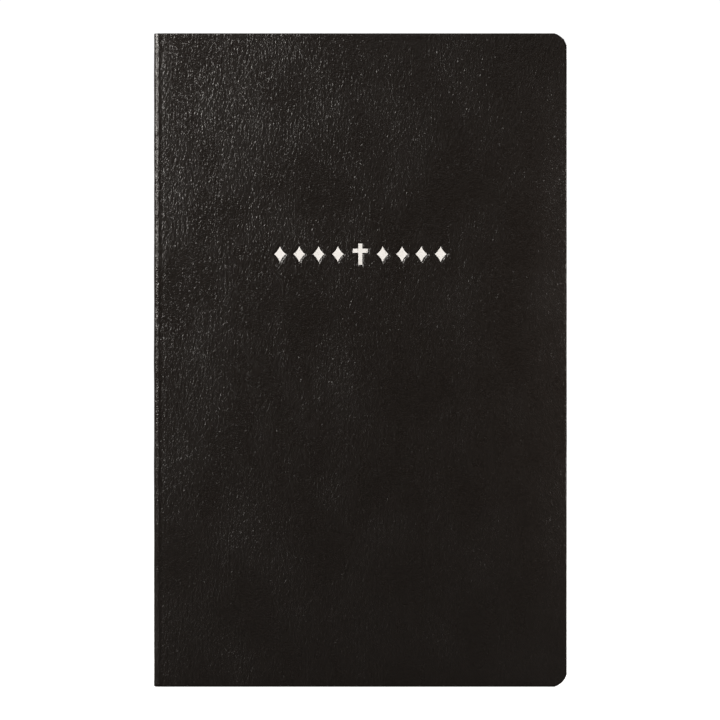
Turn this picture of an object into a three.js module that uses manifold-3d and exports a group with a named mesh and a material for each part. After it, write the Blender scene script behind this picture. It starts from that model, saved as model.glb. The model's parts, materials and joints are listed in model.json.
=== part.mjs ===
// A slim award Bible in soft imitation leather, closed and standing on its tail edge.
//
// Millimetres. X runs from the spine to the fore-edge, Y from the front cover to the back cover
// and Z from the tail to the head. The origin is on the floor, under the middle of the book.
//
// The book opens at three folds, all upright: one along the middle of the spine and one at each
// long edge of the spine. Whatever crosses a fold on the real book is cut there into two pieces.

import * as THREE from 'three';
import { mergeVertices } from 'three/addons/utils/BufferGeometryUtils.js';
import Module from 'manifold-3d';

// The trimmed size. Covers and pages are cut together, so every sheet shares one outline.
const WIDTH = 132.7;
const HEIGHT = 210;
const CORNER_RADIUS = 5; // fore-edge corners only
const CORNER_SEGMENTS = 12;

// Thickness of each sheet, and the air left between neighbours.
const AIR = 0.05;
const LEATHER = 0.7;
const CARD = 0.35;
const ENDPAPER = 0.15;
const SECTION = 1.2; // one folded section of the book, pressed
const LEAF = 0.1;

// How many sheets lie in each half of the book.
const SECTIONS_PER_HALF = 9;
const LEAVES_PER_HALF = 3;

// What is laid on the backs of the sections, from the sections outwards.
const GLUE = 0.3;
const MULL = 0.25; // open cotton gauze
const LINING = 0.2; // kraft paper

// The leather turns round each long edge of the spine, as far as where the pages begin.
const FOLD_INNER_RADIUS = 0.6;
const FOLD_SEGMENTS = 8;
const CARD_SETBACK = 4; // bare leather between the fold and the stiffening card

// The stamped ornament on the front cover: a cross with a row of hollow-sided lozenges on each side.
const ORNAMENT_FROM_HEAD = 71;
const CROSS_HEIGHT = 6.8;
const CROSS_WIDTH = 4.8;
const CROSS_BAR = 1.3;
const CROSS_ARM_SHARE = 0.66; // height of the arms up the cross
const LOZENGES_PER_SIDE = 4;
const LOZENGE_FROM_MIDDLE = 7.2;
const LOZENGE_PITCH = 6.2;
const LOZENGE_HALF_WIDTH = 1.9;
const LOZENGE_HALF_HEIGHT = 2.5;
const LOZENGE_PULL = 0.72; // how far out each hollow side's control point is, 1 being a straight side
const LOZENGE_SEGMENTS = 6;
const STAMP_DEPTH = 0.2;
const STAMP_CLEARANCE = 0.3; // leather left clear all round the foil
const FOIL = 0.1;

const COLOURS = {
  leather: { color: 0x211e1b, roughness: 0.45 },
  foil: { color: 0xece6de, roughness: 0.35, metalness: 0.2 },
  card: { color: 0x9a8f80, roughness: 0.95 },
  endpaper: { color: 0xe9e3d6, roughness: 0.9 },
  paper: { color: 0xf0ebdf, roughness: 0.9 },
  glue: { color: 0xe6dcc0, roughness: 0.5 },
  mull: { color: 0xd8d2c4, roughness: 1 },
  kraft: { color: 0xa98458, roughness: 0.95 },
};

const SPINE_X = -WIDTH / 2;
const FORE_EDGE_X = WIDTH / 2;
const LINING_X = SPINE_X + LEATHER + AIR;
const MULL_X = LINING_X + LINING + AIR;
const GLUE_X = MULL_X + MULL + AIR;
const PAGES_X = GLUE_X + GLUE + AIR; // the covers begin here too
const WRAP_X = PAGES_X - AIR;
const OVERCUT = 1; // how far a cutting solid reaches past what it cuts

const wasm = await Module();
wasm.setup();

const book = new THREE.Group();

// ---------------------------------------------------------------------------------------------
// Solids
// ---------------------------------------------------------------------------------------------

function toSolid(geometry) {
  const bare = geometry.clone();
  bare.deleteAttribute('normal');
  bare.deleteAttribute('uv');
  const merged = mergeVertices(bare);
  const vertProperties = merged.getAttribute('position').array;
  const triVerts = new Uint32Array(merged.getIndex().array);
  return new wasm.Manifold(new wasm.Mesh({ numProp: 3, vertProperties, triVerts }));
}

function toGeometry(solid) {
  const { vertProperties, triVerts } = solid.getMesh();
  const geometry = new THREE.BufferGeometry();
  geometry.setAttribute('position', new THREE.BufferAttribute(vertProperties, 3));
  geometry.setIndex(new THREE.BufferAttribute(triVerts, 1));
  geometry.computeVertexNormals();
  return geometry;
}

// The outline of a sheet seen from the front: square at the spine, rounded at the fore-edge.
function sheetOutline(left) {
  const inset = FORE_EDGE_X - CORNER_RADIUS;
  const shape = new THREE.Shape();
  shape.moveTo(left, 0);
  shape.lineTo(inset, 0);
  shape.absarc(inset, CORNER_RADIUS, CORNER_RADIUS, -Math.PI / 2, 0, false);
  shape.lineTo(FORE_EDGE_X, HEIGHT - CORNER_RADIUS);
  shape.absarc(inset, HEIGHT - CORNER_RADIUS, CORNER_RADIUS, 0, Math.PI / 2, false);
  shape.lineTo(left, HEIGHT);
  shape.closePath();
  return shape;
}

// A shape drawn as seen from the front, given a thickness that runs from y = 0 to y = thickness.
function plate(shape, thickness, curveSegments = CORNER_SEGMENTS) {
  const geometry = new THREE.ExtrudeGeometry(shape, {
    depth: thickness,
    bevelEnabled: false,
    curveSegments,
  });
  geometry.rotateX(Math.PI / 2);
  geometry.translate(0, thickness, 0);
  return geometry;
}

// A shape drawn as seen from above, standing from z = 0 to z = height.
function post(shape, height) {
  return new THREE.ExtrudeGeometry(shape, {
    depth: height,
    bevelEnabled: false,
    curveSegments: FOLD_SEGMENTS,
  });
}

function addPart(name, geometry, colour, y = 0) {
  const mesh = new THREE.Mesh(geometry, new THREE.MeshStandardMaterial(colour));
  mesh.name = name;
  mesh.position.y = y;
  book.add(mesh);
}

// ---------------------------------------------------------------------------------------------
// Where each sheet lies, as its distance from the middle opening. Both halves are alike.
// ---------------------------------------------------------------------------------------------

function stackHalf() {
  let depth = AIR / 2;
  const lay = (thickness) => {
    const start = depth;
    depth += thickness + AIR;
    return { start, thickness };
  };
  const layMany = (count, thickness) => Array.from({ length: count }, () => lay(thickness));
  return {
    leaves: layMany(LEAVES_PER_HALF, LEAF),
    sections: layMany(SECTIONS_PER_HALF, SECTION),
    flyleaf: lay(ENDPAPER),
    pastedown: lay(ENDPAPER),
    card: lay(CARD),
    leather: lay(LEATHER),
  };
}

const stack = stackHalf();
const HALF_THICKNESS = stack.leather.start + stack.leather.thickness;
const BLOCK_HALF = stack.flyleaf.start + stack.flyleaf.thickness;

// The front half lies on the -Y side of the opening and the back half on the +Y side.
const HALVES = [
  { name: 'front', side: -1 },
  { name: 'back', side: 1 },
];

function lowY(side, place) {
  return side > 0 ? place.start : -(place.start + place.thickness);
}

// ---------------------------------------------------------------------------------------------
// Pages
// ---------------------------------------------------------------------------------------------

// A folded section: its back is a round fold, its fore-edge corners are trimmed with the covers.
function sectionGeometry() {
  const fold = SECTION / 2;
  const past = FORE_EDGE_X + OVERCUT;
  const profile = new THREE.Shape();
  profile.moveTo(PAGES_X + fold, 0);
  profile.lineTo(past, 0);
  profile.lineTo(past, SECTION);
  profile.lineTo(PAGES_X + fold, SECTION);
  profile.absarc(PAGES_X + fold, fold, fold, Math.PI / 2, (3 * Math.PI) / 2, false);
  const folded = post(profile, HEIGHT + 2 * OVERCUT);
  folded.translate(0, 0, -OVERCUT);
  const trim = plate(sheetOutline(PAGES_X - OVERCUT), SECTION + 2 * OVERCUT);
  trim.translate(0, -OVERCUT, 0);
  return toGeometry(toSolid(folded).intersect(toSolid(trim)));
}

// Sections are numbered from the front of the book. Leaves are numbered from the opening.
function addPages(side) {
  const hand = side > 0 ? 'right' : 'left';
  stack.leaves.forEach((place, index) => {
    const geometry = plate(sheetOutline(PAGES_X), place.thickness);
    addPart(`${hand}_leaf_${index + 1}`, geometry, COLOURS.paper, lowY(side, place));
  });
  stack.sections.forEach((place, index) => {
    const number = side > 0 ? SECTIONS_PER_HALF + 1 + index : SECTIONS_PER_HALF - index;
    const label = String(number).padStart(2, '0');
    addPart(`section_${label}`, sectionGeometry(), COLOURS.paper, lowY(side, place));
  });
}

// ---------------------------------------------------------------------------------------------
// Spine
// ---------------------------------------------------------------------------------------------

// One half of the spine leather, seen from above: flat behind the pages, then round the fold.
function spineLeatherShape(side) {
  const face = HALF_THICKNESS;
  const outer = FOLD_INNER_RADIUS + LEATHER;
  const centreX = SPINE_X + outer;
  const centreY = face - outer;
  const start = side > 0 ? Math.PI : -Math.PI;
  const end = (side * Math.PI) / 2;
  const shape = new THREE.Shape();
  shape.moveTo(SPINE_X, (side * AIR) / 2);
  shape.lineTo(SPINE_X, side * centreY);
  shape.absarc(centreX, side * centreY, outer, start, end, side > 0);
  shape.lineTo(WRAP_X, side * face);
  shape.lineTo(WRAP_X, side * (face - LEATHER));
  shape.lineTo(centreX, side * (face - LEATHER));
  shape.absarc(centreX, side * centreY, FOLD_INNER_RADIUS, end, start, side < 0);
  shape.lineTo(SPINE_X + LEATHER, (side * AIR) / 2);
  shape.closePath();
  return shape;
}

// A layer on the backs of the sections, from the middle of the spine to the outer flyleaf.
function spineLayerShape(side, left, thickness) {
  const near = (side * AIR) / 2;
  const far = side * BLOCK_HALF;
  const shape = new THREE.Shape();
  shape.moveTo(left, near);
  shape.lineTo(left + thickness, near);
  shape.lineTo(left + thickness, far);
  shape.lineTo(left, far);
  shape.closePath();
  return shape;
}

function addSpine(name, side) {
  const layers = [
    { part: 'lining', left: LINING_X, thickness: LINING, colour: COLOURS.kraft },
    { part: 'mull', left: MULL_X, thickness: MULL, colour: COLOURS.mull },
    { part: 'glue', left: GLUE_X, thickness: GLUE, colour: COLOURS.glue },
  ];
  addPart(`spine_leather_${name}`, post(spineLeatherShape(side), HEIGHT), COLOURS.leather);
  for (const { part, left, thickness, colour } of layers) {
    const shape = spineLayerShape(side, left, thickness);
    addPart(`spine_${part}_${name}`, post(shape, HEIGHT), colour);
  }
}

// ---------------------------------------------------------------------------------------------
// Covers
// ---------------------------------------------------------------------------------------------

function addCover(name, side, leatherGeometry) {
  const { leather, card, pastedown, flyleaf } = stack;
  const cardGeometry = plate(sheetOutline(PAGES_X + CARD_SETBACK), CARD);
  const pastedownGeometry = plate(sheetOutline(PAGES_X), ENDPAPER);
  const flyleafGeometry = plate(sheetOutline(PAGES_X), ENDPAPER);
  addPart(`${name}_cover_leather`, leatherGeometry, COLOURS.leather, lowY(side, leather));
  addPart(`${name}_cover_card`, cardGeometry, COLOURS.card, lowY(side, card));
  addPart(`${name}_pastedown`, pastedownGeometry, COLOURS.endpaper, lowY(side, pastedown));
  addPart(`${name}_flyleaf`, flyleafGeometry, COLOURS.endpaper, lowY(side, flyleaf));
}

// ---------------------------------------------------------------------------------------------
// Stamped ornament
// ---------------------------------------------------------------------------------------------

const ORNAMENT_Z = HEIGHT - ORNAMENT_FROM_HEAD;

function polygon(points) {
  return new THREE.Shape(points.map(([x, z]) => new THREE.Vector2(x, ORNAMENT_Z + z)));
}

// Each outline takes the amount by which it is grown on every side.
function crossShape(grow) {
  const bar = CROSS_BAR / 2 + grow;
  const arm = CROSS_WIDTH / 2 + grow;
  const top = CROSS_HEIGHT / 2 + grow;
  const armZ = CROSS_HEIGHT * (CROSS_ARM_SHARE - 0.5);
  return polygon([
    [-bar, -top],
    [bar, -top],
    [bar, armZ - bar],
    [arm, armZ - bar],
    [arm, armZ + bar],
    [bar, armZ + bar],
    [bar, top],
    [-bar, top],
    [-bar, armZ + bar],
    [-arm, armZ + bar],
    [-arm, armZ - bar],
    [-bar, armZ - bar],
  ]);
}

function lozengeShape(middle, grow) {
  const reachX = LOZENGE_HALF_WIDTH + grow * Math.SQRT2;
  const reachZ = LOZENGE_HALF_HEIGHT + grow * Math.SQRT2;
  const at = (x, z) => [middle + x * reachX, ORNAMENT_Z + z * reachZ];
  const corners = [[1, 0], [0, 1], [-1, 0], [0, -1]];
  const shape = new THREE.Shape();
  shape.moveTo(...at(1, 0));
  corners.forEach(([x, z], index) => {
    const [nextX, nextZ] = corners[(index + 1) % corners.length];
    const pull = LOZENGE_PULL / 2;
    shape.quadraticCurveTo(...at((x + nextX) * pull, (z + nextZ) * pull), ...at(nextX, nextZ));
  });
  return shape;
}

// Lozenges are numbered outwards from the cross.
function lozengeStamps(name, hand) {
  return Array.from({ length: LOZENGES_PER_SIDE }, (_, index) => {
    const middle = hand * (LOZENGE_FROM_MIDDLE + index * LOZENGE_PITCH);
    return {
      name: `foil_lozenge_${name}_${index + 1}`,
      shape: (grow) => lozengeShape(middle, grow),
      segments: LOZENGE_SEGMENTS,
    };
  });
}

const STAMPS = [
  { name: 'foil_cross', shape: (grow) => crossShape(grow), segments: 1 },
  ...lozengeStamps('left', -1),
  ...lozengeStamps('right', 1),
];

// The front leather has a shallow pocket pressed round each piece of foil.
function stampedLeather() {
  let leather = toSolid(plate(sheetOutline(PAGES_X), LEATHER));
  for (const { shape, segments } of STAMPS) {
    const pocket = plate(shape(STAMP_CLEARANCE), STAMP_DEPTH + OVERCUT, segments);
    pocket.translate(0, -OVERCUT, 0);
    leather = leather.subtract(toSolid(pocket));
  }
  return toGeometry(leather);
}

function addFoil() {
  const y = -HALF_THICKNESS + STAMP_DEPTH - AIR - FOIL;
  for (const { name, shape, segments } of STAMPS) {
    addPart(name, plate(shape(0), FOIL, segments), COLOURS.foil, y);
  }
}

// ---------------------------------------------------------------------------------------------
// The book
// ---------------------------------------------------------------------------------------------

addCover('front', -1, stampedLeather());
addFoil();
for (const { name, side } of HALVES) {
  addPages(side);
  addSpine(name, side);
}
addCover('back', 1, plate(sheetOutline(PAGES_X), LEATHER));

export default book;
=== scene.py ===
"""A soft-cover award Bible in black imitation leather, standing closed on its tail edge."""

import json
import math
import random

import bpy
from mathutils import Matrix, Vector

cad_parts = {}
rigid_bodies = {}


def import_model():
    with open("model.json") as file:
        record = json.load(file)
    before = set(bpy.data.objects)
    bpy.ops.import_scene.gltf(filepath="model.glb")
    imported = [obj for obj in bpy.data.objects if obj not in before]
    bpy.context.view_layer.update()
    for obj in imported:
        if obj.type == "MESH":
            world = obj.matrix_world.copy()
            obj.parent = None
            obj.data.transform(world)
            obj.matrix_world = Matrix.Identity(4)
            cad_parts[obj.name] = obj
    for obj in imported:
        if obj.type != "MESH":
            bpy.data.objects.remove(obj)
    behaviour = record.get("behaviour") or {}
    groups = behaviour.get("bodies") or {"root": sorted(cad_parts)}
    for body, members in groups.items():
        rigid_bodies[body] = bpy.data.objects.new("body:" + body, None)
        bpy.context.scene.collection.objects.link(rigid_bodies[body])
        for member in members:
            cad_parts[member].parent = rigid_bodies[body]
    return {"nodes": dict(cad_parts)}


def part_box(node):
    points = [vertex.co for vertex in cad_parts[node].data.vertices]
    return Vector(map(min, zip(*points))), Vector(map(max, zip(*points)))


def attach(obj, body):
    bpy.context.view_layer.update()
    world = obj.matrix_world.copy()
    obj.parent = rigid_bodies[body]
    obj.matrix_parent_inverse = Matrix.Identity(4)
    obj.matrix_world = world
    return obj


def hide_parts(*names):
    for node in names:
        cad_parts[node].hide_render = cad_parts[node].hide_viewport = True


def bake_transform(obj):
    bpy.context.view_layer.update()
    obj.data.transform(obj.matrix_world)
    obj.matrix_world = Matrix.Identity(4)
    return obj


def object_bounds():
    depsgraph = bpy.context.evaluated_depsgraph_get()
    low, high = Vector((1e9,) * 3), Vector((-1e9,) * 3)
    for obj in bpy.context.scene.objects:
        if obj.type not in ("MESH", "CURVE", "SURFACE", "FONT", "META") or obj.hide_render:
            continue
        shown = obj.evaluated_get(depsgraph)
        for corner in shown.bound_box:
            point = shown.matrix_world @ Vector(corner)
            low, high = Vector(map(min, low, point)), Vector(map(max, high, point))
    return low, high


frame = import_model()
cad_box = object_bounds()

# ------------------------------------------------------------------ sizes, in metres
MM = 0.001
LOW, HIGH = cad_box
SPINE_X, FORE_X = LOW.x, HIGH.x
FRONT_Y, BACK_Y = LOW.y, HIGH.y
HEIGHT = HIGH.z
HALF_SPINE = (BACK_Y - FRONT_Y) / 2
PAGES_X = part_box("section_01")[0].x
CARD_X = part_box("front_cover_card")[0].x
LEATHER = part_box("front_cover_leather")[1].y - FRONT_Y
HAIR = 0.001 * MM          # two places closer than this are the same place

CORNER = 5 * MM            # round fore-edge corners, cut through covers and pages together
CORNER_CUTS = 9
FINE_MESH = 1000           # a mesh with this many faces is cut only near its corners
FOLD = 1.6 * MM            # outer radius where the leather turns onto the spine
FOLD_STEPS = 8
GROOVE_FROM = 1.75 * MM    # the pressed hinge line beside the fold
GROOVE_AT = 2.2 * MM
GROOVE_TO = 3.1 * MM
GROOVE_DEPTH = 0.16 * MM
CELL = 1.0 * MM            # spacing of the leather's mesh
SLIVER = 0.12 * MM         # corner cuts closer than this are merged
SEAM = 7 * MM              # from the middle of the spine, where the three leather pieces meet
CREASE = 0.5 * MM          # half the width that folds when the book opens in the middle
CREASE_STEPS = 8
CREASE_SKIN = 0.15 * MM    # leather left over that fold
EDGE_ROLL = 0.12 * MM      # round-over on the leather's cut edges
EDGE_LINE = 0.35 * MM      # where that round-over begins
WAVE = 16 * MM             # the soft waviness of a glued cover, and its height
WAVE_HEIGHT = 0.16 * MM
PUCKER = 2.6 * MM          # the short puckers that run up the cover, and their height
PUCKER_HEIGHT = 0.07 * MM
PUCKER_STRETCH = 0.22      # their width as a share of their length

STAMP_DEPTH = 0.2 * MM     # how deep the foil is pressed into the leather
STAMP_RIM = 0.2 * MM       # the pocket is this much wider than the foil all round
STAMP_WALL = 0.6 * MM      # width of the pocket's soft wall
STAMP_REACH = 1.2 * MM     # how far round the foil the leather's mesh is made finer
STAMP_NEAR = 1 * MM        # foil shapes further from a point than this don't touch it
STAMP_CUTS = 4

PAPER = 0.06 * MM          # one loose leaf, thick enough to show its edge
ENDPAPER = 0.1 * MM
SPREAD_PAPER = 0.008 * MM  # the middle sheet, thin enough to fold in the spine's gap
LEAF_COLUMNS = 48
LEAF_RIDGES = 6            # ridges across a section's cut edges
RIDGE_DEPTH = 0.05 * MM
UNEVEN = 0.06 * MM         # how far a section may stand behind its neighbour


# ------------------------------------------------------------------ modelling by hand
def clear_selection():
    for other in bpy.context.selected_objects:
        other.select_set(False)


def pick_object(piece):
    clear_selection()
    piece.select_set(True)
    bpy.context.view_layer.objects.active = piece


def edit():
    bpy.ops.object.mode_set(mode="EDIT")


def leave():
    bpy.ops.object.mode_set(mode="OBJECT")


def pick(piece, kind, wanted):
    """Selects vertices, edges or faces. A vertex is judged by its place, an edge by its ends,
    and a face by its middle and its normal."""
    bpy.ops.mesh.select_mode(type=kind)
    bpy.ops.mesh.select_all(action="DESELECT")
    leave()
    mesh = piece.data
    if kind == "VERT":
        for vertex in mesh.vertices:
            vertex.select = wanted(vertex.co)
    elif kind == "EDGE":
        for edge in mesh.edges:
            first, second = (mesh.vertices[index].co for index in edge.vertices)
            edge.select = wanted(first, second)
    else:
        for face in mesh.polygons:
            face.select = wanted(face.center, face.normal)
    edit()


def slide(x=0.0, y=0.0, z=0.0, **settings):
    bpy.ops.transform.translate(value=(x, y, z), **settings)


def pull(x=0.0, y=0.0, z=0.0, steps=1):
    for _ in range(steps):
        bpy.ops.mesh.extrude_region_move(
            TRANSFORM_OT_translate={"value": (x / steps, y / steps, z / steps)})


def turn(centre):
    """Spins the loose end of a line a quarter turn about an upright axis."""
    bpy.ops.mesh.spin(steps=FOLD_STEPS, angle=math.pi / 2, axis=(0, 0, 1), center=centre)


def start_line(name, place):
    """A new piece that is only one corner at its place, with nothing else selected."""
    clear_selection()
    bpy.ops.mesh.primitive_plane_add(size=MM, location=place)
    piece = bpy.context.object
    name_piece(piece, name)
    edit()
    bpy.ops.mesh.select_mode(type="VERT")
    bpy.ops.mesh.select_all(action="SELECT")
    bpy.ops.mesh.merge(type="CENTER")
    leave()
    settle(piece)
    edit()
    bpy.ops.mesh.select_all(action="SELECT")
    return piece


def settle(piece):
    """Puts the piece's place into its mesh, so that its object sits at the origin."""
    pick_object(piece)
    bpy.ops.object.transform_apply(location=True, rotation=True, scale=True)


def finish_with(piece, kind, **settings):
    pick_object(piece)
    modifier = piece.modifiers.new(kind.lower(), kind)
    for name, value in settings.items():
        setattr(modifier, name, value)
    bpy.ops.object.modifier_apply(modifier=modifier.name)


def raise_line(piece, rows):
    """Draws the line up to the full height of the book, in rows."""
    leave()
    finish_with(piece, "SCREW", axis="Z", angle=0.0, screw_offset=HEIGHT, steps=rows,
                render_steps=rows, use_smooth_shade=False)


def thicken(piece, thickness, offset):
    finish_with(piece, "SOLIDIFY", thickness=thickness, offset=offset, use_even_offset=True)


def turn_faces_out():
    """Recalculates the directions of all faces of the piece in hand."""
    bpy.ops.mesh.select_all(action="SELECT")
    bpy.ops.mesh.normals_make_consistent(inside=False)


def face_outwards(piece):
    pick_object(piece)
    edit()
    turn_faces_out()
    leave()


def smooth(piece, degrees=35):
    pick_object(piece)
    bpy.ops.object.shade_smooth_by_angle(angle=math.radians(degrees))


def name_piece(piece, name):
    piece.name = name
    piece.data.name = name


def copy_piece(piece, name):
    pick_object(piece)
    bpy.ops.object.duplicate()
    twin = bpy.context.object
    name_piece(twin, name)
    return twin


def cut_corners(piece, radius, keep_outside=False):
    """Cuts both fore-edge corners with short straight cuts that follow the corner's circle. On a fine
    mesh only the faces near the corner are cut. With keep_outside it only draws the cut line."""
    reach = 2 * (CORNER + 1.5 * CELL)
    few = len(piece.data.polygons) < FINE_MESH
    for end, up in ((0, -1), (HEIGHT, 1)):
        centre = Vector((FORE_X - CORNER, 0, end - up * CORNER))
        pick(piece, "FACE", lambda middle, _: few or (
            middle.x > FORE_X - reach and abs(middle.z - end) < reach))
        bpy.ops.mesh.hide(unselected=True)
        for step in range(CORNER_CUTS):
            angle = (step + 0.5) / CORNER_CUTS * math.pi / 2
            out = Vector((math.cos(angle), 0, up * math.sin(angle)))
            bpy.ops.mesh.select_all(action="SELECT")
            bpy.ops.mesh.bisect(plane_co=centre + out * radius, plane_no=out,
                                clear_outer=not keep_outside)
        bpy.ops.mesh.reveal(select=False)
    leave()


def lay_out(piece, name, place):
    """Maps each corner of the piece's faces to where it lies on the flat sheet, in metres."""
    layer = piece.data.uv_layers.get(name) or piece.data.uv_layers.new(name=name)
    vertices = piece.data.vertices
    for loop in piece.data.loops:
        layer.data[loop.index].uv = place(vertices[loop.vertex_index].co)


def along_wrap(point):
    """How far round the cover a point lies from the middle of the spine, front negative, and how high."""
    side = -1 if point.y < 0 else 1
    across = abs(point.y)
    straight = HALF_SPINE - FOLD
    centre_x = SPINE_X + FOLD
    if point.x < centre_x and across < straight:
        return side * across, point.z
    if point.x < centre_x:
        return side * (straight + FOLD * math.atan2(across - straight, centre_x - point.x)), point.z
    return side * (straight + FOLD * math.pi / 2 + point.x - centre_x), point.z


# ------------------------------------------------------------------ materials
def hex_colour(code):
    """The linear colour of an sRGB hex value."""
    channels = [int(code[i:i + 2], 16) / 255 for i in (1, 3, 5)]
    return tuple(c / 12.92 if c <= 0.04045 else ((c + 0.055) / 1.055) ** 2.4 for c in channels) + (1.0,)


def add(tree, kind, links=(), **settings):
    """Adds a node. Links give each input, by name or number, a value or another node's output."""
    node = tree.nodes.new(kind)
    for name, value in settings.items():
        setattr(node, name, value)
    for socket, value in dict(links).items():
        if isinstance(value, bpy.types.NodeSocket):
            tree.links.new(value, node.inputs[socket])
        else:
            node.inputs[socket].default_value = value
    return node


def start_material(name):
    material = bpy.data.materials.new(name)
    material.use_nodes = True
    material.node_tree.nodes.clear()
    return material, material.node_tree


def close_material(tree, shader_inputs):
    shader = add(tree, "ShaderNodeBsdfPrincipled", shader_inputs)
    add(tree, "ShaderNodeOutputMaterial", {"Surface": shader.outputs[0]})


def scaled(tree, source, size):
    """Coordinates that stretch a pattern along the axes where the size is under one."""
    return add(tree, "ShaderNodeMapping", {"Vector": source, "Scale": size}).outputs[0]


def per_mm(length):
    """How many pattern cells of this length, in millimetres, fit in a metre."""
    return 1000 / length


def colour_mix(tree, factor, low, high):
    """A colour between two sRGB hex values or node colours."""
    links = {0: factor}
    for socket, colour in ((6, low), (7, high)):
        links[socket] = hex_colour(colour) if isinstance(colour, str) else colour
    return add(tree, "ShaderNodeMix", links, data_type="RGBA").outputs[2]


def embossed_imitation_leather():
    """Polyurethane film on backing, embossed with a hide grain and calendered: near black and a little
    warm, satin, with fine irregular pebbles and long shallow creases running up the cover. The grain
    stays deep beside the spine and is rubbed flatter towards the open edges. The pattern depths are in
    millimetres."""
    material, tree = start_material("imitation_leather_embossed")
    sheet = add(tree, "ShaderNodeUVMap", uv_map="sheet").outputs[0]
    bend = add(tree, "ShaderNodeTexNoise", {"Vector": sheet, "Scale": per_mm(2.4), "Detail": 2.0})
    bent = add(tree, "ShaderNodeVectorMath", {
        0: bend.outputs["Color"], 1: (0.4 * MM, 0.4 * MM, 0.0)}, operation="MULTIPLY").outputs[0]
    warped = add(tree, "ShaderNodeVectorMath", {0: sheet, 1: bent}, operation="ADD").outputs[0]
    edges = add(tree, "ShaderNodeTexVoronoi", {
        "Vector": scaled(tree, warped, (1.0, 0.8, 1.0)), "Scale": per_mm(0.6), "Randomness": 1.0},
        feature="DISTANCE_TO_EDGE").outputs["Distance"]
    pebbles = add(tree, "ShaderNodeMapRange", {
        "Value": edges, "From Min": 0.0, "From Max": 0.3}, interpolation_type="SMOOTHSTEP").outputs[0]
    creases = add(tree, "ShaderNodeTexNoise", {
        "Vector": scaled(tree, warped, (1.0, 0.36, 1.0)), "Scale": per_mm(0.8), "Detail": 2.0,
        "Roughness": 0.55}).outputs["Fac"]
    fine = add(tree, "ShaderNodeTexNoise", {
        "Vector": sheet, "Scale": per_mm(0.34), "Detail": 2.0, "Roughness": 0.6}).outputs["Fac"]
    depths = []
    for pattern, depth in ((creases, 0.23), (pebbles, 0.04), (fine, 0.02)):
        depths.append(add(tree, "ShaderNodeMath", {0: pattern, 1: depth}, operation="MULTIPLY").outputs[0])
    grain = add(tree, "ShaderNodeMath", {0: depths[0], 1: depths[1]}, operation="ADD").outputs[0]
    grain = add(tree, "ShaderNodeMath", {0: grain, 1: depths[2]}, operation="ADD").outputs[0]
    broad = add(tree, "ShaderNodeTexNoise", {
        "Vector": scaled(tree, sheet, (1.0, 0.6, 1.0)), "Scale": per_mm(17), "Detail": 3.0}).outputs["Fac"]
    around = add(tree, "ShaderNodeSeparateXYZ", {0: sheet}).outputs["X"]
    from_spine = add(tree, "ShaderNodeMath", {0: around}, operation="ABSOLUTE").outputs[0]
    rubbed = add(tree, "ShaderNodeMapRange", {
        "Value": from_spine, "From Min": 20 * MM, "From Max": 100 * MM,
        "To Min": 0.93, "To Max": 0.78}).outputs[0]
    patchy = add(tree, "ShaderNodeMapRange", {
        "Value": broad, "From Min": 0.35, "From Max": 0.65, "To Min": 0.85, "To Max": 1.1}).outputs[0]
    rubbed = add(tree, "ShaderNodeMath", {0: rubbed, 1: patchy}, operation="MULTIPLY").outputs[0]
    grain = add(tree, "ShaderNodeMath", {0: grain, 1: rubbed}, operation="MULTIPLY").outputs[0]
    bump = add(tree, "ShaderNodeBump", {"Height": grain, "Distance": MM})
    # the colour is darker in the crevices between pebbles and paler on their tops: painted shade in the
    # grain's hollows
    tone = colour_mix(tree, pebbles, "#15110e", "#1c1714")
    satin = add(tree, "ShaderNodeMapRange", {
        "Value": broad, "From Min": 0.3, "From Max": 0.7, "To Min": 0.24, "To Max": 0.32}).outputs[0]
    close_material(tree, {"Base Color": tone, "Roughness": satin, "IOR": 1.5,
                          "Normal": bump.outputs[0]})
    return material


def hot_stamped_foil():
    """Pigment foil pressed into grain: pale warm white, satin, with pinholes where the grain was too deep."""
    material, tree = start_material("pigment_foil_hot_stamped")
    place = add(tree, "ShaderNodeTexCoord").outputs["Object"]
    grain = add(tree, "ShaderNodeTexNoise", {
        "Vector": place, "Scale": per_mm(0.5), "Detail": 3.0, "Roughness": 0.6}).outputs["Fac"]
    pinholes = add(tree, "ShaderNodeMapRange", {
        "Value": grain, "From Min": 0.66, "From Max": 0.71}).outputs[0]
    clouds = add(tree, "ShaderNodeTexNoise", {
        "Vector": place, "Scale": per_mm(2.5), "Detail": 2.0}).outputs["Fac"]
    white = colour_mix(tree, clouds, "#e9e7e4", "#f3f2f1")
    tone = colour_mix(tree, pinholes, white, "#6b625a")
    bump = add(tree, "ShaderNodeBump", {"Height": grain, "Distance": 0.06 * MM})
    satin = add(tree, "ShaderNodeMapRange", {
        "Value": clouds, "To Min": 0.34, "To Max": 0.5}).outputs[0]
    close_material(tree, {"Base Color": tone, "Roughness": satin, "Normal": bump.outputs[0]})
    return material


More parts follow.
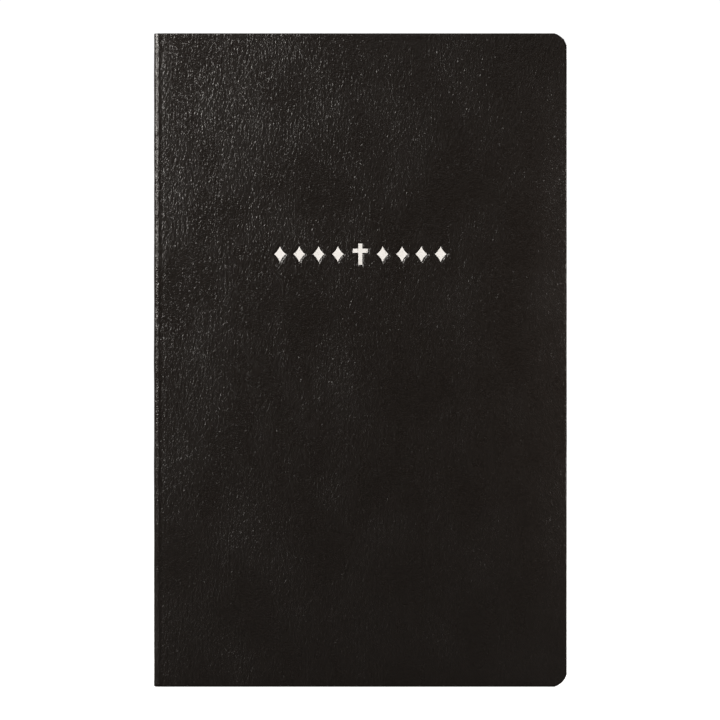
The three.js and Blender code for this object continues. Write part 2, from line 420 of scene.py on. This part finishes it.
def thin_bible_paper(name, printed=False, pale="#f1ede2", dark="#e4ddcc"):
    """Uncoated thin stock, milled and trimmed: off-white, matt, cloudy when held flat, and finely lined
    along every cut edge, where leaf lies on leaf."""
    material, tree = start_material(name)
    place = add(tree, "ShaderNodeTexCoord").outputs["Object"]
    clouds = add(tree, "ShaderNodeTexNoise", {
        "Vector": scaled(tree, place, (1.0, 0.05, 1.0)), "Scale": per_mm(9), "Detail": 4.0}).outputs["Fac"]
    fibres = add(tree, "ShaderNodeTexNoise", {
        "Vector": scaled(tree, place, (1.0, 1.0, 0.4)), "Scale": per_mm(0.5), "Detail": 3.0}).outputs["Fac"]
    tone = colour_mix(tree, clouds, dark, pale)
    bump = add(tree, "ShaderNodeBump", {"Height": fibres, "Distance": 0.02 * MM})
    if printed:
        tone = printed_columns(tree, tone)
    else:
        facing = add(tree, "ShaderNodeNewGeometry").outputs["Normal"]
        across = add(tree, "ShaderNodeSeparateXYZ", {0: facing}).outputs["Y"]
        flat_side = add(tree, "ShaderNodeMath", {0: across}, operation="ABSOLUTE").outputs[0]
        cut_side = add(tree, "ShaderNodeMapRange", {
            "Value": flat_side, "From Min": 0.5, "From Max": 0.2}).outputs[0]
        leaves = add(tree, "ShaderNodeTexNoise", {
            "Vector": scaled(tree, place, (0.012, 1.0, 0.012)), "Scale": per_mm(0.22), "Detail": 3.0,
            "Roughness": 0.7}).outputs["Fac"]
        stripe = add(tree, "ShaderNodeMapRange", {
            "Value": leaves, "From Min": 0.36, "From Max": 0.6}).outputs[0]
        tone = colour_mix(tree, cut_side, tone, colour_mix(tree, stripe, "#b9ae98", "#efe9da"))
        bump = add(tree, "ShaderNodeBump", {
            "Height": leaves, "Distance": 0.08 * MM, "Strength": cut_side, "Normal": bump.outputs[0]})
    close_material(tree, {"Base Color": tone, "Roughness": 0.78, "IOR": 1.45,
                          "Normal": bump.outputs[0]})
    return material


def printed_columns(tree, paper):
    """Two columns of plain grey strokes, broken at uneven lengths, with no letters in them."""
    page = add(tree, "ShaderNodeUVMap", uv_map="page").outputs[0]
    split = add(tree, "ShaderNodeSeparateXYZ", {0: page})
    across, up = split.outputs["X"], split.outputs["Y"]

    def between(value, low, high):
        above = add(tree, "ShaderNodeMath", {0: value, 1: low}, operation="GREATER_THAN").outputs[0]
        below = add(tree, "ShaderNodeMath", {0: value, 1: high}, operation="LESS_THAN").outputs[0]
        return add(tree, "ShaderNodeMath", {0: above, 1: below}, operation="MULTIPLY").outputs[0]

    left = between(across, 16 * MM, 62 * MM)
    right = between(across, 67 * MM, 113 * MM)
    columns = add(tree, "ShaderNodeMath", {0: left, 1: right}, operation="ADD").outputs[0]
    rows = between(up, 17 * MM, 193 * MM)
    line = add(tree, "ShaderNodeMath", {0: up, 1: per_mm(3.6)}, operation="MULTIPLY").outputs[0]
    part = add(tree, "ShaderNodeMath", {0: line}, operation="FRACT").outputs[0]
    stroke = between(part, 0.3, 0.68)
    row = add(tree, "ShaderNodeMath", {0: line}, operation="FLOOR").outputs[0]
    words_at = add(tree, "ShaderNodeCombineXYZ", {
        0: add(tree, "ShaderNodeMath", {0: across, 1: per_mm(3.2)}, operation="MULTIPLY").outputs[0],
        1: add(tree, "ShaderNodeMath", {0: row, 1: 7.3}, operation="MULTIPLY").outputs[0]})
    words = add(tree, "ShaderNodeTexVoronoi", {
        "Vector": words_at.outputs[0], "Scale": 1.0}, feature="DISTANCE_TO_EDGE").outputs["Distance"]
    word = add(tree, "ShaderNodeMapRange", {"Value": words, "From Min": 0.05, "From Max": 0.12}).outputs[0]
    ink = columns
    for mask in (rows, stroke, word):
        ink = add(tree, "ShaderNodeMath", {0: ink, 1: mask}, operation="MULTIPLY").outputs[0]
    ink = add(tree, "ShaderNodeMath", {0: ink, 1: 0.62}, operation="MULTIPLY").outputs[0]
    return colour_mix(tree, ink, paper, "#4a4641")


def greyboard():
    """Pressed waste-paper board: warm grey, matt, flecked with darker and paler fibre."""
    material, tree = start_material("greyboard_pressed")
    place = add(tree, "ShaderNodeTexCoord").outputs["Object"]
    flecks = add(tree, "ShaderNodeTexNoise", {
        "Vector": place, "Scale": per_mm(0.9), "Detail": 5.0, "Roughness": 0.7}).outputs["Fac"]
    spread = add(tree, "ShaderNodeMapRange", {"Value": flecks, "From Min": 0.35, "From Max": 0.65}).outputs[0]
    bump = add(tree, "ShaderNodeBump", {"Height": flecks, "Distance": 0.05 * MM})
    close_material(tree, {"Base Color": colour_mix(tree, spread, "#77706a", "#9b948b"),
                          "Roughness": 0.9, "Normal": bump.outputs[0]})
    return material


def binding_glue():
    """Hot-melt spine adhesive, rolled on: milky amber, glossy, slightly uneven."""
    material, tree = start_material("hot_melt_glue_rolled")
    place = add(tree, "ShaderNodeTexCoord").outputs["Object"]
    flow = add(tree, "ShaderNodeTexNoise", {
        "Vector": scaled(tree, place, (1.0, 1.0, 0.3)), "Scale": per_mm(2.0), "Detail": 3.0}).outputs["Fac"]
    bump = add(tree, "ShaderNodeBump", {"Height": flow, "Distance": 0.1 * MM})
    close_material(tree, {"Base Color": colour_mix(tree, flow, "#cdbb8e", "#e3d6b2"),
                          "Roughness": 0.35, "Normal": bump.outputs[0]})
    return material


def cotton_mull():
    """Starched open-weave cotton: threads 0.6 mm apart crossing at right angles, matt and off-white.
    A wave texture repeats every 2 pi / 20 at a scale of one."""
    material, tree = start_material("cotton_mull_woven")
    place = add(tree, "ShaderNodeTexCoord").outputs["Object"]
    heights = []
    for direction in ("Y", "Z"):
        heights.append(add(tree, "ShaderNodeTexWave", {
            "Vector": place, "Scale": per_mm(0.6) * math.tau / 20, "Distortion": 0.6},
            wave_type="BANDS", bands_direction=direction).outputs["Fac"])
    thread = add(tree, "ShaderNodeMath", {0: heights[0], 1: heights[1]}, operation="MAXIMUM").outputs[0]
    bump = add(tree, "ShaderNodeBump", {"Height": thread, "Distance": 0.12 * MM})
    close_material(tree, {"Base Color": colour_mix(tree, thread, "#a39a86", "#ddd5c3"),
                          "Roughness": 0.85, "Normal": bump.outputs[0]})
    return material


def kraft_lining():
    """Machine-made kraft paper: brown, matt, with long fibres lying along the spine."""
    material, tree = start_material("kraft_paper_machine_made")
    place = add(tree, "ShaderNodeTexCoord").outputs["Object"]
    fibre = add(tree, "ShaderNodeTexNoise", {
        "Vector": scaled(tree, place, (1.0, 1.0, 0.15)), "Scale": per_mm(0.6), "Detail": 4.0}).outputs["Fac"]
    bump = add(tree, "ShaderNodeBump", {"Height": fibre, "Distance": 0.04 * MM})
    close_material(tree, {"Base Color": colour_mix(tree, fibre, "#8a6b48", "#b08d62"),
                          "Roughness": 0.85, "Normal": bump.outputs[0]})
    return material


def give(piece, material):
    piece.data.materials.clear()
    piece.data.materials.append(material)


LEATHER_FINISH = embossed_imitation_leather()
FOIL_FINISH = hot_stamped_foil()
PAPER_FINISH = thin_bible_paper("bible_paper_milled")
PRINTED_FINISH = thin_bible_paper("bible_paper_printed", printed=True)
ENDPAPER_FINISH = thin_bible_paper("endpaper_uncoated", pale="#f4f1e9", dark="#ebe6da")


# ------------------------------------------------------------------ leather cover
FOIL_NODES = [name for name in frame["nodes"] if name.startswith("foil_")]


def ripple(piece, sheet_map, wave, height):
    """Lifts and sinks the sheet in soft clouds of one wave length, as imitation leather settles in use."""
    texture = bpy.data.textures.new(f"{piece.name}_ripple", "CLOUDS")
    texture.noise_scale = 2 * wave
    texture.noise_depth = 1
    finish_with(piece, "DISPLACE", texture=texture, texture_coords="UV", uv_layer=sheet_map,
                direction="NORMAL", strength=height, mid_level=0.5)


def leather_wrap():
    """The whole cover as one open sheet: front panel, fold, spine, fold, back panel."""
    flat = FORE_X - SPINE_X - GROOVE_TO
    flat_cells = round(flat / CELL)
    to_crease = HALF_SPINE - FOLD - CREASE
    spine_cells = round(to_crease / CELL)
    fold_x = SPINE_X + FOLD
    wrap = start_line("leather_wrap", (FORE_X, FRONT_Y, 0))
    pull(x=-flat, steps=flat_cells)
    pull(x=GROOVE_AT - GROOVE_TO, y=GROOVE_DEPTH)
    pull(x=GROOVE_FROM - GROOVE_AT, y=-GROOVE_DEPTH)
    pull(x=FOLD - GROOVE_FROM)
    turn((fold_x, FRONT_Y + FOLD, 0))
    pull(y=to_crease, steps=spine_cells)
    pull(y=2 * CREASE, steps=CREASE_STEPS)
    pull(y=to_crease, steps=spine_cells)
    turn((fold_x, BACK_Y - FOLD, 0))
    pull(x=GROOVE_FROM - FOLD)
    pull(x=GROOVE_AT - GROOVE_FROM, y=-GROOVE_DEPTH)
    pull(x=GROOVE_TO - GROOVE_AT, y=GROOVE_DEPTH)
    pull(x=flat, steps=flat_cells)
    raise_line(wrap, round(HEIGHT / CELL))
    edit()
    bpy.ops.mesh.select_all(action="SELECT")
    bpy.ops.mesh.flip_normals()
    for height in (EDGE_LINE, HEIGHT - EDGE_LINE):
        bpy.ops.mesh.select_all(action="SELECT")
        bpy.ops.mesh.bisect(plane_co=(0, 0, height), plane_no=(0, 0, 1))
    bpy.ops.mesh.select_all(action="SELECT")
    bpy.ops.mesh.bisect(plane_co=(FORE_X - EDGE_LINE, 0, 0), plane_no=(1, 0, 0))
    cut_corners(wrap, CORNER - EDGE_LINE, keep_outside=True)
    edit()
    cut_corners(wrap, CORNER)
    edit()
    pick(wrap, "VERT", lambda co: co.x > FORE_X - 2 * CORNER)
    bpy.ops.mesh.remove_doubles(threshold=SLIVER)
    leave()
    lay_out(wrap, "sheet", along_wrap)
    lay_out(wrap, "creases", lambda co: (along_wrap(co)[0], co.z * PUCKER_STRETCH))
    ripple(wrap, "sheet", WAVE, WAVE_HEIGHT)
    ripple(wrap, "creases", PUCKER, PUCKER_HEIGHT)
    return wrap


def split_wrap(wrap):
    """Parts the sheet along two straight lines on the flat of the spine."""
    for side in (-1, 1):
        pick_object(wrap)
        edit()
        pick(wrap, "FACE", lambda middle, _: side * middle.y > SEAM)
        bpy.ops.mesh.separate(type="SELECTED")
        leave()
    parts = [piece for piece in bpy.data.objects if piece.name.startswith("leather_wrap")]
    middle = {piece: sum(v.co.y for v in piece.data.vertices) / len(piece.data.vertices) for piece in parts}
    return sorted(parts, key=middle.get)


def on_outline(co):
    """True where a point lies on the cover's cut edge: head, tail, fore-edge or round corner."""
    if min(co.z, HEIGHT - co.z) < 0.02 * MM or co.x > FORE_X - 0.02 * MM:
        return True
    centre_z = min(max(co.z, CORNER), HEIGHT - CORNER)
    if co.x < FORE_X - CORNER or abs(co.z - centre_z) < 0.01 * MM:
        return False
    return math.hypot(co.x - (FORE_X - CORNER), co.z - centre_z) > CORNER - 0.1 * MM


def is_outer(co):
    """True on the leather's outer face, which lies away from the middle of the book."""
    on_panel = abs(co.y) > HALF_SPINE - LEATHER / 2
    on_spine = co.x < SPINE_X + LEATHER / 2
    from_fold = math.hypot(co.x - SPINE_X - FOLD, abs(co.y) - HALF_SPINE + FOLD)
    on_fold = co.x < SPINE_X + FOLD and from_fold > FOLD - LEATHER / 2
    return on_panel or on_spine or on_fold


def finish_leather(piece, name):
    """Gives the sheet its thickness, inwards, and rolls its outer cut edges over a little."""
    name_piece(piece, name)
    thicken(piece, LEATHER, -1)
    edit()
    pick(piece, "VERT", lambda co: on_outline(co) and is_outer(co))
    bpy.ops.transform.shrink_fatten(value=-EDGE_ROLL)
    leave()
    give(piece, LEATHER_FINISH)


def thin_middle_crease(piece):
    """Leaves only a thin skin down the middle of the spine."""
    pick_object(piece)
    edit()
    pick(piece, "VERT", lambda co: abs(co.y) < CREASE * 0.95 and co.x > SPINE_X + LEATHER * 0.6)
    slide(x=CREASE_SKIN - LEATHER)
    leave()


def stamp_shapes():
    """The flat outline of each foil node's front face, as its own faces."""
    shapes = []
    for name in FOIL_NODES:
        mesh = bpy.data.objects[name].data
        front = min(vertex.co.y for vertex in mesh.vertices)
        for face in mesh.polygons:
            corners = [mesh.vertices[index].co for index in face.vertices]
            if all(abs(co.y - front) < HAIR for co in corners):
                shapes.append([(co.x, co.z) for co in corners])
    return shapes


def near_shape(x, z, shapes):
    """How far a point lies outside the nearest shape, and zero inside one. Shapes well to the left or
    right of it are passed over."""
    nearest = math.inf
    for shape in shapes:
        xs = [corner[0] for corner in shape]
        if not min(xs) - STAMP_NEAR < x < max(xs) + STAMP_NEAR:
            continue
        area = sum(a[0] * b[1] - b[0] * a[1] for a, b in zip(shape, shape[1:] + shape[:1]))
        inside = True
        for a, b in zip(shape, shape[1:] + shape[:1]):
            run, rise = b[0] - a[0], b[1] - a[1]
            length = math.hypot(run, rise)
            if length == 0:
                continue
            along = max(0.0, min(1.0, ((x - a[0]) * run + (z - a[1]) * rise) / length ** 2))
            nearest = min(nearest, math.hypot(x - a[0] - along * run, z - a[1] - along * rise))
            if ((x - a[0]) * rise - (z - a[1]) * run) * math.copysign(1, area) > 0:
                inside = False
        if inside:
            return 0.0
    return nearest


def press_stamps(piece):
    """Presses the leather down under each foil shape, with soft walls round it."""
    shapes = stamp_shapes()
    xs = [x for shape in shapes for x, _ in shape]
    zs = [z for shape in shapes for _, z in shape]
    left, right = min(xs) - STAMP_REACH, max(xs) + STAMP_REACH
    bottom, top = min(zs) - STAMP_REACH, max(zs) + STAMP_REACH

    def round_stamps(co):
        return left < co.x < right and bottom < co.z < top

    pick_object(piece)
    edit()
    pick(piece, "FACE", lambda middle, normal: normal.y < -0.5 and round_stamps(middle))
    bpy.ops.mesh.subdivide(number_cuts=STAMP_CUTS)
    pick(piece, "VERT", lambda co: (
        co.y < FRONT_Y + LEATHER / 2 and round_stamps(co)
        and near_shape(co.x, co.z, shapes) < STAMP_RIM))
    slide(y=STAMP_DEPTH, use_proportional_edit=True,
          proportional_edit_falloff="SMOOTH", proportional_size=STAMP_WALL)
    leave()


front_skin, spine_skin, back_skin = split_wrap(leather_wrap())
finish_leather(front_skin, "front_cover_skin")
finish_leather(spine_skin, "spine_skin")
finish_leather(back_skin, "back_cover_skin")
thin_middle_crease(spine_skin)
press_stamps(front_skin)
for skin in (front_skin, spine_skin, back_skin):
    smooth(skin, degrees=50)

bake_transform(front_skin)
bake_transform(back_skin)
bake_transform(spine_skin)
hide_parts("front_cover_leather")
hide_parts("back_cover_leather")
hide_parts("spine_leather_front", "spine_leather_back")


# ------------------------------------------------------------------ folded sections
def folded_section():
    """One folded section: a block trimmed on three sides, finely ridged where its leaves end."""
    low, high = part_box("section_01")
    section = start_line("section", (PAGES_X, low.y, 0))
    pull(x=FORE_X - PAGES_X)
    raise_line(section, 1)
    edit()
    cut_corners(section, CORNER)
    edit()
    bpy.ops.mesh.select_all(action="SELECT")
    thickness = high.y - low.y
    pull(y=thickness)
    pick(section, "EDGE", lambda a, b: abs(abs(a.y - b.y) - thickness) < HAIR)
    bpy.ops.mesh.subdivide(number_cuts=2 * LEAF_RIDGES - 1)
    turn_faces_out()
    step = thickness / (2 * LEAF_RIDGES)
    pick(section, "VERT", lambda co: (
        round((co.y - low.y) / step) % 2 == 0 and low.y + step / 2 < co.y < high.y - step / 2
        and (co.x > PAGES_X + 0.1 * MM or 0.1 * MM < co.z < HEIGHT - 0.1 * MM)))
    bpy.ops.transform.shrink_fatten(value=-RIDGE_DEPTH)
    leave()
    return section


SECTION_NODES = sorted(name for name in frame["nodes"] if name.startswith("section_"))
FRONT_SECTIONS = len(SECTION_NODES) // 2
first_section = folded_section()
give(first_section, PAPER_FINISH)
smooth(first_section, degrees=20)
dice = random.Random(4)
for number, name in enumerate(SECTION_NODES):
    block = copy_piece(first_section, f"{name}_leaves")
    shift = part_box(name)[0].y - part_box("section_01")[0].y
    pick_object(block)
    edit()
    bpy.ops.mesh.select_all(action="SELECT")
    slide(x=-dice.uniform(0, UNEVEN), y=shift)
    leave()
    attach(block, "front_half" if number < FRONT_SECTIONS else "back_half")
    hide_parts(name)
bpy.data.objects.remove(first_section)


# ------------------------------------------------------------------ sheets of paper
def paper_sheet(name, path, columns, thickness=PAPER):
    """A sheet that follows a path across the book, drawn up to full height, with its corners rounded."""
    sheet = start_line(name, (path[0][0], path[0][1], 0))
    for (x0, y0), (x1, y1), count in zip(path, path[1:], columns):
        pull(x=x1 - x0, y=y1 - y0, steps=count)
    raise_line(sheet, 1)
    edit()
    cut_corners(sheet, CORNER)
    lay_out(sheet, "page", lambda co: (co.x - PAGES_X, co.z))
    thicken(sheet, thickness, 0)
    face_outwards(sheet)
    return sheet


for side, half in (("left", "front_half"), ("right", "back_half")):
    for number in (1, 2, 3):
        node = f"{side}_leaf_{number}"
        low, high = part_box(node)
        middle = (low.y + high.y) / 2
        leaf = paper_sheet(f"{node}_sheet", [(low.x, middle), (FORE_X, middle)], [LEAF_COLUMNS])
        if side == "left":
            lay_out(leaf, "page", lambda co: (FORE_X - co.x, co.z))
        give(leaf, PRINTED_FINISH)
        smooth(leaf)
        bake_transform(leaf)
        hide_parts(node)

# the middle sheet lies under the loose leaves and folds in the spine's gap, near the leather
leg_y = 0.45 * MM
gap_y = 0.012 * MM
mouth_x = PAGES_X + 0.1 * MM
neck_x = PAGES_X - 0.05 * MM
tip_x = PAGES_X - 1.45 * MM
front_leg = [(FORE_X, -leg_y), (mouth_x, -leg_y), (neck_x, -gap_y), (tip_x, -gap_y)]
back_leg = [(x, -y) for x, y in reversed(front_leg)]
spread = paper_sheet("centre_spread", front_leg + back_leg, [8, 1, 2, 8, 2, 1, 8], thickness=SPREAD_PAPER)
lay_out(spread, "page", lambda co: (co.x - PAGES_X if co.y > 0 else FORE_X - co.x, co.z))
give(spread, PRINTED_FINISH)
smooth(spread)
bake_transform(spread)

# endpapers: one half lines the cover and reaches into the joint, the other half is the flyleaf
for side, sign in (("front", -1), ("back", 1)):
    low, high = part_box(f"{side}_pastedown")
    lining_y = (low.y + high.y) / 2
    inside_y = sign * (HALF_SPINE - LEATHER - 0.2 * MM)
    low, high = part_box(f"{side}_flyleaf")
    flyleaf_y = (low.y + high.y) / 2
    path = [(PAGES_X, flyleaf_y + sign * 0.09 * MM),
            (PAGES_X - 0.75 * MM, flyleaf_y + sign * 0.16 * MM),
            (PAGES_X - 0.6 * MM, inside_y), (CARD_X - 0.9 * MM, inside_y),
            (CARD_X - 0.1 * MM, lining_y), (FORE_X - 0.25 * MM, lining_y)]
    pastedown = paper_sheet(f"{side}_endpaper", path, [3, 2, 12, 2, 40], thickness=ENDPAPER)
    give(pastedown, ENDPAPER_FINISH)
    smooth(pastedown)
    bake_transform(pastedown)
    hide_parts(f"{side}_pastedown")
    flyleaf = paper_sheet(f"{side}_flyleaf_sheet_paper", [(PAGES_X, flyleaf_y), (FORE_X, flyleaf_y)],
                          [LEAF_COLUMNS], thickness=ENDPAPER)
    give(flyleaf, ENDPAPER_FINISH)
    smooth(flyleaf)
    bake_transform(flyleaf)
    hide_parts(f"{side}_flyleaf")

# ------------------------------------------------------------------ pieces kept from the frame
for name in FOIL_NODES:
    give(bpy.data.objects[name], FOIL_FINISH)
kept = {"cover_card": greyboard(), "spine_glue": binding_glue(), "spine_mull": cotton_mull(),
        "spine_lining": kraft_lining()}
for name in frame["nodes"]:
    for part, material in kept.items():
        if part in name:
            give(bpy.data.objects[name], material)

# ------------------------------------------------------------------ floor, light and camera
FLOOR_SIZE = 6
FLOOR_Z = -0.2 * MM
CAMERA_AWAY = 0.9634       # from the front cover, with a long lens
CAMERA_X = -0.1 * MM

bpy.ops.mesh.primitive_plane_add(size=FLOOR_SIZE, location=(0, 0, FLOOR_Z))
floor = bpy.context.object
floor.name = "studio_floor"
floor_material, tree = start_material("pale_studio_floor")
camera_ray = add(tree, "ShaderNodeLightPath").outputs["Is Camera Ray"]
seen = add(tree, "ShaderNodeAddShader", {
    0: add(tree, "ShaderNodeEmission", {"Color": (1, 1, 1, 1), "Strength": 0.96}).outputs[0],
    1: add(tree, "ShaderNodeBsdfDiffuse", {"Color": (0.5, 0.5, 0.5, 1)}).outputs[0]}).outputs[0]
unseen = add(tree, "ShaderNodeBsdfDiffuse", {"Color": (0.1, 0.1, 0.1, 1)}).outputs[0]
add(tree, "ShaderNodeOutputMaterial", {
    "Surface": add(tree, "ShaderNodeMixShader", {0: camera_ray, 1: unseen, 2: seen}).outputs[0]})
give(floor, floor_material)

world = bpy.data.worlds.new("studio")
bpy.context.scene.world = world
world.use_nodes = True
tree = world.node_tree
tree.nodes.clear()
camera_ray = add(tree, "ShaderNodeLightPath").outputs["Is Camera Ray"]
ambient = add(tree, "ShaderNodeBackground", {"Color": (1.0, 0.97, 0.94, 1), "Strength": 0.02}).outputs[0]
backdrop = add(tree, "ShaderNodeBackground", {"Color": (1, 1, 1, 1), "Strength": 1.05}).outputs[0]
add(tree, "ShaderNodeOutputWorld", {
    "Surface": add(tree, "ShaderNodeMixShader", {0: camera_ray, 1: ambient, 2: backdrop}).outputs[0]})


def soft_light(name, place, aim, size, power, colour):
    """A square soft box that points at a place on the cover."""
    bpy.ops.object.light_add(type="AREA", location=place)
    light = bpy.context.object
    light.name = name
    light.data.shape = "SQUARE"
    light.data.size = size
    light.data.energy = power
    light.data.color = colour
    light.rotation_euler = (Vector(aim) - Vector(place)).to_track_quat("-Z", "Y").to_euler()
    return light


WARM = (1.0, 0.96, 0.915)
WARMER = (1.0, 0.95, 0.9)
NEUTRAL = (1.0, 0.98, 0.96)
soft_light("key_light", (-0.4, -0.31, 0.345), (-0.02, FRONT_Y, 0.12), 0.26, 4.5, WARM)
strip = soft_light("side_strip", (0.125, -0.033, 0.11), (0.05, FRONT_Y, 0.11), 0.04, 0.17, WARMER)
strip.data.shape = "RECTANGLE"        # tall and narrow, along the fore-edge
strip.data.size_y = 0.16
soft_light("right_light", (0.8, 0.9, 0.4), (FORE_X, 0, 0.1), 0.5, 1.4, NEUTRAL)
soft_light("left_light", (-0.4, 1.1, 0.45), (SPINE_X, 0, 0.1), 0.5, 1.8, NEUTRAL)
soft_light("back_key", (0.4, 0.32, 0.34), (0.0, BACK_Y, 0.12), 0.26, 2.6, (1.0, 0.96, 0.92))
soft_light("front_card", (0.05, -1.1, 0.6), (0.0, FRONT_Y, 0.1), 0.4, 0.32, WARMER)
soft_light("back_light", (0.3, 1.1, 0.9), (0.0, BACK_Y, 0.1), 0.8, 4.5, NEUTRAL)
bpy.ops.object.light_add(type="SUN", location=(0, 0, 1), rotation=(0, 0, 0))
overhead = bpy.context.object
overhead.name = "overhead_light"
overhead.data.energy = 0.6
overhead.data.angle = math.radians(60)

bpy.ops.object.camera_add(location=(CAMERA_X, FRONT_Y - CAMERA_AWAY, HEIGHT / 2),
                          rotation=(math.pi / 2, 0, 0))
camera = bpy.context.object
camera.data.lens = 150
camera.data.sensor_width = 36
bpy.context.scene.camera = camera
bpy.context.scene.view_settings.view_transform = "Standard"
